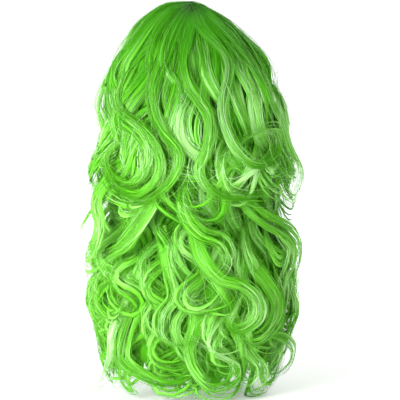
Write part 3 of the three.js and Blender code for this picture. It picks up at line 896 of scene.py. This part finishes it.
def lay_locks(hair, node, settings, rng):
    """Lays a piece's own locks over its others."""
    for row in LAID_LOCKS:
        if row.node == node:
            path = laid_course(row.places)
            lock = SimpleNamespace(**dict.fromkeys(LOCK_COLUMNS, 0))
            lock.path = path
            lock.width = row.width
            lock.length = path.along[-1]
            lock.hook_radius = 1
            lock.hidden = max(0, -row.places[0][1])
            lock.strands = settings.laid_strands * row.width
            comb(hair, lock, LAID_LAYER, settings, rng)


def crown_locks(node):
    """A piece's locks of the top layer, with how far their strands spread at the parting."""
    rows = [row for row in CROWN_LOCKS if row.node == node]
    locks = []
    for at, row in enumerate(rows):
        near = rows[max(0, at - 1)]
        far = rows[min(len(rows) - 1, at + 1)]
        lock = SimpleNamespace(**vars(row), hidden=0)
        lock.spread = max(LEAST_SPREAD.fall, abs(far.fall - near.fall) / 4 * ROOT_OVERLAP)
        lock.tilt_spread = max(LEAST_SPREAD.tilt, abs(far.tilt - near.tilt) / 4 * ROOT_OVERLAP)
        locks.append(lock)
    locks[-1].tilt_spread = FRONT_SPREAD
    return locks


def crown_mat(hair, side, rng):
    """The even hair under the top layer's strands."""
    mat = CROWN_MAT
    turn = np.linspace(0, 1, mat.columns)[None, :]
    share = np.linspace(mat.start, 1, mat.rows)[:, None]
    rim = between(RIM, "azimuth", "height", turn * 180)
    polar = share * cap_polar(np.maximum(mat.low, rim + mat.off_rim))
    full = smoothstep(-cap_point(0, polar, 0)[..., 2], 0, CROWN.steep)
    lean = LEAN * np.sin(turn * np.pi) * (1 - full) * smoothstep(share, 0, 0.2)
    azimuth = side * turn * np.pi
    thick = lerp(mat.top, mat.full, full) * lerp(1, mat.edge, share**6)
    outer = cap_point(azimuth, polar, thick - side * lean)
    inner = cap_point(azimuth, polar, CAP_WALL + mat.off_cap)
    if side > 0:
        outer, inner = outer[:, ::-1], inner[:, ::-1]
    hair.mat(outer[:, ::-1], inner[:, ::-1], rng)


def weft_mat(hair, weft, rng):
    """The even hair under a weft's strands, with an uneven lower edge."""
    mat = WEFT_MAT
    place = np.linspace(-mat.reach, mat.reach, mat.columns)[None, :]
    wide, fine = (mat.points * np.sin(place * wave + weft.fall) for wave in (mat.wide, mat.fine))
    low = WEFT.root - weft.length * (mat.length + (wide + fine))
    height = lerp(WEFT.top, low, np.linspace(0, 1, mat.rows)[:, None])
    section = weft_section(height)
    azimuth = np.radians(weft.fall + place * weft.spread)
    outer = section_point(section, azimuth, height, mat.outer)
    inner = section_point(section, azimuth, height, mat.inner)
    hair.mat(outer, inner, rng)


class Shade:
    """A shader socket whose arithmetic adds Math nodes."""

    def __init__(self, tree, socket):
        self.tree = tree
        self.socket = socket

    def value(self, operation, *others):
        """The result of a Math node on this and other values."""
        return self.tree.node("ShaderNodeMath", {"operation": operation}, {
            at: other for at, other in enumerate((self, *others))
        })

    def __add__(self, other):
        return self.value("ADD", other)

    def __sub__(self, other):
        return self.value("SUBTRACT", other)

    def __rsub__(self, other):
        return self.value("MULTIPLY", -1).value("ADD", other)

    def __mul__(self, other):
        return self.value("MULTIPLY", other)

    __radd__ = __add__
    __rmul__ = __mul__

    def clamped(self):
        """This value kept between 0 and 1."""
        return self.value("MAXIMUM", 0).value("MINIMUM", 1)


class ShaderTree:
    """A new material's nodes."""

    def __init__(self, name):
        self.material = bpy.data.materials.new(name)
        self.material.use_nodes = True
        self.nodes = self.material.node_tree.nodes
        self.links = self.material.node_tree.links
        self.shader = self.nodes["Principled BSDF"]

    def node(self, kind, settings=None, inputs=None, output=0):
        """A node of a kind with its settings and with the values or links of its sockets."""
        made = self.nodes.new(kind)
        for name, value in (settings or {}).items():
            setattr(made, name, value)
        self.feed(made, inputs or {})
        return Shade(self, made.outputs[output])

    def feed(self, node, inputs):
        """Links or sets a node's sockets."""
        for name, value in inputs.items():
            if isinstance(value, Shade):
                self.links.new(value.socket, node.inputs[name])
            else:
                node.inputs[name].default_value = value

    def attribute(self, name, output="Fac"):
        """A value painted on the mesh."""
        return self.node("ShaderNodeAttribute", {"attribute_name": name}, output=output)

    def mix(self, share, start, end):
        """A mix of two colours."""
        return self.node(
            "ShaderNodeMix", {"data_type": "RGBA"}, {0: share, 6: start, 7: end}, output=2
        )


def hair_material(settings):
    """Glossy curled fibre: light and dark strands with fine lines along them; the tones carry painted light
    and shade, with painted shade at the roots and a painted shadow down in the parting.
    """
    tree = ShaderTree("hair_fibre")
    tone = tree.attribute("tone")
    run = tree.attribute("run")
    lay = tree.attribute("lay", "Vector")
    drawn_out = (0.9, 0.03, 1.0)
    stretched = tree.node("ShaderNodeVectorMath", {"operation": "MULTIPLY"}, {0: lay, 1: drawn_out})
    streak = tree.node("ShaderNodeTexNoise", {}, {"Vector": stretched, "Scale": 1.0, "Detail": 3.0})
    # A strand's tone holds its own random tone plus painted light and shade; the gleam is a painted highlight
    light = tone * 0.92 + streak * 0.52 - 0.25
    colour = (*settings.shade_colour, 1)
    # Painted shade: strands grow darker towards their roots
    root = (1.2 - run * 1.6).clamped() * 0.8
    # Painted shadow down in the parting
    parting = (1 - run * 14).clamped() * 0.7
    for share, added in (
        ((light * 2).clamped(), settings.middle_colour),
        ((light * 2 - 1).clamped(), settings.light_colour),
        ((light * 2.5 - 1.8).clamped(), settings.gleam_highlight_colour),
        (root, settings.root_shade_colour),
        (parting, settings.parting_shadow_colour),
    ):
        colour = tree.mix(share, colour, (*added, 1))
    bump = tree.node("ShaderNodeBump", {}, {"Strength": 0.35, "Distance": 0.0006, "Height": streak})
    tree.feed(tree.shader, {
        "Base Color": colour,
        "Roughness": 0.34 + streak * 0.16,
        "Normal": bump,
        "Specular IOR Level": 0.07,
    })
    return tree.material


def hair_finish(settings):
    """The one finish of all the hair."""
    return bpy.data.materials.get("hair_fibre") or hair_material(settings)


def cap_material(settings):
    """Knitted cap net: fine meshes with stitched bands round the cap."""
    tree = ShaderTree("cap_net")
    place = tree.node("ShaderNodeTexCoord", output="Object")
    meshes = tree.node(
        "ShaderNodeTexVoronoi",
        {"feature": "DISTANCE_TO_EDGE"},
        {"Vector": place, "Scale": 1 / settings.mesh_size, "Randomness": 0.25},
    )
    band = tree.node(
        "ShaderNodeTexWave",
        {"wave_type": "BANDS", "bands_direction": "Z"},
        {"Vector": place, "Scale": 26.0, "Distortion": 0.6, "Detail": 2.0},
        output=1,
    )
    thread = (1 - meshes * 6).clamped()
    colour = tree.mix(thread, (*settings.hole_colour, 1), (*settings.thread_colour, 1))
    colour = tree.mix((band * 4 - 3).clamped() * 0.5, colour, (*settings.band_colour, 1))
    bump = tree.node(
        "ShaderNodeBump", {}, {"Strength": 0.6, "Distance": 0.0008, "Height": thread + band * 0.6}
    )
    tree.feed(tree.shader, {"Base Color": colour, "Roughness": 0.8 - thread * 0.1, "Normal": bump})
    return tree.material


def floor_material(settings):
    """Pale paper that glows more away from the wig."""
    tree = ShaderTree("floor_paper")
    place = tree.node("ShaderNodeTexCoord", output="Object")
    away = tree.node("ShaderNodeVectorMath", {"operation": "LENGTH"}, {0: place}, output="Value")
    near_glow, far_glow = ((glow, glow, glow, 1) for glow in (FLOOR.near_glow, FLOOR.far_glow))
    tree.feed(tree.shader, {
        "Base Color": (*settings.floor_colour, 1),
        "Roughness": 0.9,
        "Emission Color": tree.mix((away - FLOOR.near).clamped(), near_glow, far_glow),
        "Emission Strength": 1,
    })
    return tree.material


def backdrop_material():
    """White paper with an even glow."""
    tree = ShaderTree("backdrop_paper")
    tree.feed(tree.shader, {
        "Base Color": (0, 0, 0, 1),
        "Emission Color": (1, 1, 1, 1),
        "Emission Strength": BACKDROP.glow,
    })
    return tree.material


def paper(scene, name, points, faces, material):
    """A sheet of the stage's paper."""
    mesh = bpy.data.meshes.new(name)
    mesh.from_pydata(points, [], faces)
    mesh.materials.append(material)
    sheet = bpy.data.objects.new(name, mesh)
    scene.collection.objects.link(sheet)
    return sheet


def aimed(scene, name, data, place):
    """A lamp or camera at a place, turned to the middle of the picture."""
    made = bpy.data.objects.new(name, data)
    made.location = place
    made.rotation_euler = (VIEW_CENTRE - made.location).to_track_quat("-Z", "Y").to_euler()
    scene.collection.objects.link(made)
    return made


def colour_property(name, words, value):
    """A colour that a user may change."""
    return FloatVectorProperty(
        name=name, description=words, default=value, subtype="COLOR", size=3, min=0, max=1
    )


def length_property(name, words, value):
    """A length that a user may change, in metres."""
    return FloatProperty(name=name, description=words, default=value, unit="LENGTH")


class WigHairSettings(bpy.types.PropertyGroup):
    """Sizes and colours of the hair."""

    strand_width: length_property("Strand width", "Width of a strand", 0.00088)
    frizz: FloatProperty(
        name="Frizz", description="How far strands stray from their lock, in mm", default=1.3
    )
    crown_strands: IntProperty(
        name="Top strands", description="Strands of each lock of the top layer", default=54
    )
    weft_strands: IntProperty(
        name="Under strands", description="Strands of each lock of the under layer", default=63
    )
    laid_strands: FloatProperty(
        name="Laid strands", description="Strands of a laid lock, for each mm of its width", default=4
    )
    loose_strands: IntProperty(
        name="Loose strands", description="Strands round each lock that stray", default=9
    )
    seed: IntProperty(name="Seed", description="Start of the random order of strands", default=19)
    # Colours from the darkest tone to the lightest: the darkest hold painted shade, the gleam is a painted
    # highlight
    shade_colour: colour_property("Shade", "Colour of the darkest strands", (0.012, 0.2, 0.0))
    middle_colour: colour_property("Middle", "Colour of most strands", (0.125, 0.50, 0.018))
    light_colour: colour_property("Light", "Colour of light strands", (0.43, 0.89, 0.22))
    gleam_highlight_colour: colour_property("Gleam", "Colour of the lightest strands", (0.72, 0.97, 0.62))
    # Painted shade at the roots
    root_shade_colour: colour_property("Root", "Colour at the roots", (0.025, 0.22, 0.001))
    # Painted shadow in the parting
    parting_shadow_colour: colour_property("Parting", "Colour down in the parting", (0.006, 0.07, 0.0))


class WigCapSettings(bpy.types.PropertyGroup):
    """Sizes and colours of the cap."""

    mesh_size: length_property("Net mesh", "Width of a mesh of the net", 0.0022)
    thread_colour: colour_property("Thread", "Colour of the net's thread", (0.055, 0.20, 0.03))
    hole_colour: colour_property("Hole", "Colour between the threads", (0.012, 0.04, 0.008))
    band_colour: colour_property("Band", "Colour of the stitched bands", (0.10, 0.34, 0.05))


class WigStageSettings(bpy.types.PropertyGroup):
    """The view, the floor and the lights."""

    distance: length_property("Distance", "From the camera to the wig", 2.4)
    elevation: FloatProperty(
        name="Elevation", description="Of the camera", default=math.radians(4), subtype="ANGLE"
    )
    view_width: length_property("View width", "Width of the picture at the wig", 0.46)
    key_power: FloatProperty(name="Key light", description="Its power in watts", default=69)
    fill: FloatProperty(name="Fill", description="Strength of the light all round", default=0.55)
    floor_colour: colour_property("Floor", "Colour of the floor", (0.93, 0.93, 0.93))


class WIG_OT_cap(bpy.types.Operator):
    """Gives the cap its net"""

    bl_idname = "wig.cap"
    bl_label = "Cap"

    def execute(self, context):
        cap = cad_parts["wig_cap"]
        cap.data.materials.clear()
        cap.data.materials.append(cap_material(context.scene.wig_cap))
        return {"FINISHED"}


class WIG_OT_crown_hair(bpy.types.Operator):
    """Combs the top layer down from both sides of the parting"""

    bl_idname = "wig.crown_hair"
    bl_label = "Crown hair"

    def execute(self, context):
        settings = context.scene.wig_hair
        for node in ("crown_hair_left", "crown_hair_right"):
            rng = np.random.default_rng(settings.seed + len(node))
            hair = HairMesh()
            locks = crown_locks(node)
            crown_mat(hair, math.copysign(1, locks[0].fall), rng)
            for lock in locks:
                lock.strands = settings.crown_strands
                comb(hair, lock, CROWN_LAYER, settings, rng)
            lay_locks(hair, node, settings, rng)
            hair.piece(node, hair_finish(settings))
        return {"FINISHED"}


class WIG_OT_hanging_hair(bpy.types.Operator):
    """Hangs the under layer's wefts round the cap"""

    bl_idname = "wig.hanging_hair"
    bl_label = "Hanging hair"

    def execute(self, context):
        settings = context.scene.wig_hair
        for at, weft in enumerate(WEFTS):
            rng = np.random.default_rng(settings.seed + WEFT_SEED + at)
            hair = HairMesh()
            weft_mat(hair, weft, rng)
            for place in range(LOCKS_A_WEFT):
                middle = place - (LOCKS_A_WEFT - 1) / 2
                lock = SimpleNamespace(**vars(weft), hidden=WEFT.root - WEFT.top)
                lock.fall = weft.fall + middle * weft.spread
                lock.length = weft.length - math.copysign(1, weft.hook) * middle * STAGGER
                lock.strands = settings.weft_strands
                comb(hair, lock, WEFT_LAYER, settings, rng)
            lay_locks(hair, weft.node, settings, rng)
            hair.piece(weft.node, hair_finish(settings))
        return {"FINISHED"}


class WIG_OT_stage(bpy.types.Operator):
    """Sets a pale floor, soft light and the camera"""

    bl_idname = "wig.stage"
    bl_label = "Stage"

    def execute(self, context):
        scene = context.scene
        settings = scene.wig_stage
        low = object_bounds()[0]
        reach = FLOOR.reach
        corners = [(-reach, -reach, 0), (reach, -reach, 0), (reach, reach, 0), (-reach, reach, 0)]
        floor = paper(scene, "floor", corners, [(0, 1, 2, 3)], floor_material(settings))
        floor.location.z = low.z - FLOOR.drop
        floor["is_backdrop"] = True

        count = BACKDROP.sides
        angle = np.linspace(0, TURN, count, endpoint=False)
        across = np.sin(angle) * BACKDROP.radius
        away = np.cos(angle) * BACKDROP.radius
        rings = [joined(across, away, height) for height in (BACKDROP.low, BACKDROP.high)]
        around = [(at, (at + 1) % count, (at + 1) % count + count, at + count) for at in range(count)]
        screen = paper(scene, "backdrop", np.concatenate(rings), around, backdrop_material())
        screen.visible_diffuse = False
        screen.visible_glossy = False
        screen.visible_shadow = False
        screen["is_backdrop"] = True

        scene.world = bpy.data.worlds.new("studio")
        scene.world.use_nodes = True
        background = scene.world.node_tree.nodes["Background"]
        background.inputs["Color"].default_value = (1, 1, 1, 1)
        background.inputs["Strength"].default_value = settings.fill
        for lamp in LAMPS:
            data = bpy.data.lights.new(lamp.name, "AREA")
            data.energy = settings.key_power * lamp.power
            data.size = lamp.size
            aimed(scene, lamp.name, data, lamp.place)

        data = bpy.data.cameras.new("camera")
        data.lens = data.sensor_width * settings.distance / settings.view_width
        back = Vector((0, -math.cos(settings.elevation), math.sin(settings.elevation)))
        scene.camera = aimed(scene, "camera", data, VIEW_CENTRE + back * settings.distance)
        scene.view_settings.view_transform = "Standard"
        return {"FINISHED"}


class WIG_PT_panel(bpy.types.Panel):
    """Lists the wig's pieces and settings"""

    bl_idname = "WIG_PT_panel"
    bl_label = "Curly wig"
    bl_space_type = "VIEW_3D"
    bl_region_type = "UI"
    bl_category = "Wig"

    def draw(self, context):
        for group, operators in (
            (context.scene.wig_cap, (WIG_OT_cap,)),
            (context.scene.wig_hair, (WIG_OT_crown_hair, WIG_OT_hanging_hair)),
            (context.scene.wig_stage, (WIG_OT_stage,)),
        ):
            box = self.layout.box()
            for name in group.__annotations__:
                box.prop(group, name)
            for operator in operators:
                box.operator(operator.bl_idname)


CLASSES = (
    WigHairSettings,
    WigCapSettings,
    WigStageSettings,
    WIG_OT_cap,
    WIG_OT_crown_hair,
    WIG_OT_hanging_hair,
    WIG_OT_stage,
    WIG_PT_panel,
)


def register():
    """Registers the classes and gives scenes their settings."""
    for kind in CLASSES:
        bpy.utils.register_class(kind)
    bpy.types.Scene.wig_hair = PointerProperty(type=WigHairSettings)
    bpy.types.Scene.wig_cap = PointerProperty(type=WigCapSettings)
    bpy.types.Scene.wig_stage = PointerProperty(type=WigStageSettings)


def unregister():
    """Takes the settings and classes away again."""
    del bpy.types.Scene.wig_hair, bpy.types.Scene.wig_cap, bpy.types.Scene.wig_stage
    for kind in reversed(CLASSES):
        bpy.utils.unregister_class(kind)


def main():
    """Builds the wig and its stage."""
    register()
    bpy.ops.wig.cap()
    bpy.ops.wig.crown_hair()
    bpy.ops.wig.hanging_hair()
    bpy.ops.wig.stage()


if __name__ == "__main__":
    main()
